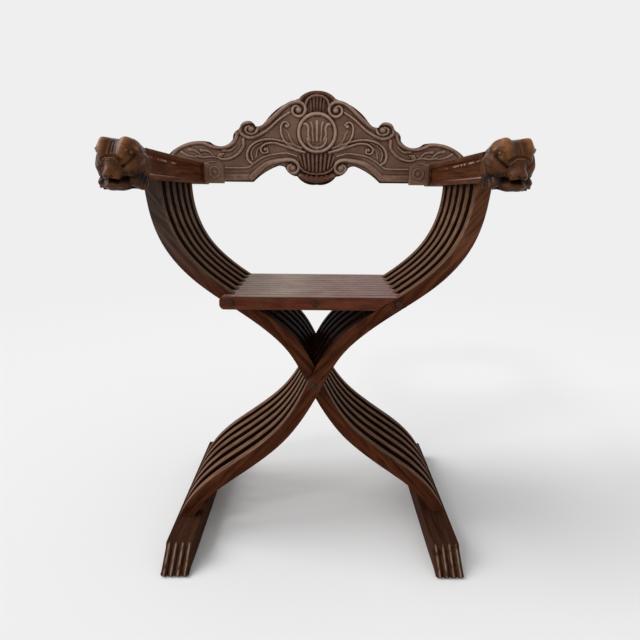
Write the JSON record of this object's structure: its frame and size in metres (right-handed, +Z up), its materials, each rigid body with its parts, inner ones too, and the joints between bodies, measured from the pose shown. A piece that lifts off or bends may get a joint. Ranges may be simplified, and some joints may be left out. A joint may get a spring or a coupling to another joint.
{
  "type": "savonarola chair",
  "caption": "Folding X-frame armchair of interleaved curved ribs and seat slats on long rods, with lion-head arms, sledge feet with claws and a carved lift-out crest board.",
  "frame": {"origin": "on the floor, at the middle of the chair's width and depth", "axes": "+X to the sitter's left as seen from the front (right in a front view), +Y towards the back, +Z up"},
  "size_m": [0.69, 0.518, 0.874],
  "materials": {
    "walnut_frame": "dark waxed walnut with a soft sheen",
    "walnut_seat": "dark walnut, polished by use",
    "walnut_carved": "carved walnut, worn grey-brown with dark recesses",
    "walnut_heads": "carved walnut, glossy on the high spots",
    "dowel_wood": "plain beech dowel",
    "dark_iron": "dark oxidised iron"
  },
  "bodies": {
    "left_frame": {"rib_left_1": "walnut_frame", "rib_left_2": "walnut_frame", "rib_left_3": "walnut_frame", "rib_left_4": "walnut_frame", "rib_left_5": "walnut_frame", "rib_left_6": "walnut_frame", "arm_left": "walnut_frame", "lion_head_left": "walnut_heads", "head_dowels_left": "dowel_wood", "rosette_left": "walnut_carved", "foot_right": "walnut_frame", "pivot_rod": "dark_iron", "pivot_rod_caps": "dark_iron", "left_seat_rod": "dark_iron", "left_seat_rod_caps": "dark_iron"},
    "right_frame": {"rib_right_1": "walnut_frame", "rib_right_2": "walnut_frame", "rib_right_3": "walnut_frame", "rib_right_4": "walnut_frame", "rib_right_5": "walnut_frame", "rib_right_6": "walnut_frame", "arm_right": "walnut_frame", "lion_head_right": "walnut_heads", "head_dowels_right": "dowel_wood", "rosette_right": "walnut_carved", "foot_left": "walnut_frame", "right_seat_rod": "dark_iron", "right_seat_rod_caps": "dark_iron"},
    "left_slats": {"slat_left_1": "walnut_seat", "slat_left_2": "walnut_seat", "slat_left_3": "walnut_seat", "slat_left_4": "walnut_seat", "slat_left_5": "walnut_seat", "slat_left_6": "walnut_seat", "centre_seat_rod": "dark_iron", "centre_seat_rod_caps": "dark_iron"},
    "right_slats": {"slat_right_1": "walnut_seat", "slat_right_2": "walnut_seat", "slat_right_3": "walnut_seat", "slat_right_4": "walnut_seat", "slat_right_5": "walnut_seat", "slat_right_6": "walnut_seat"},
    "crest_board": {"back_board": "walnut_carved"}
  },
  "joints": [
    {"name": "fold", "type": "hinge", "parent": "left_frame", "child": "right_frame", "pos_m": [0, 0, 0.304], "axis": [0, -1, 0], "range_deg": [0, 50]},
    {"name": "left_slat_hinge", "type": "hinge", "parent": "left_frame", "child": "left_slats", "pos_m": [-0.147, 0, 0.457], "axis": [0, -1, 0], "range_deg": [0, 87.2]},
    {"name": "right_slat_hinge", "type": "hinge", "parent": "left_slats", "child": "right_slats", "pos_m": [0, 0, 0.457], "axis": [0, 1, 0], "range_deg": [0, 124.4]},
    {"name": "board_lift", "type": "slide", "parent": "left_frame", "child": "crest_board", "axis": [0, 0, 1], "range_m": [0, 0.3]}
  ],
  "couplings": [
    {"joint": "left_slat_hinge", "follows": "fold", "ratio": 1.7439},
    {"joint": "right_slat_hinge", "follows": "fold", "ratio": 2.4879},
    {"joint": "board_lift", "follows": "fold", "m_per_rad": 0.3437}
  ]
}
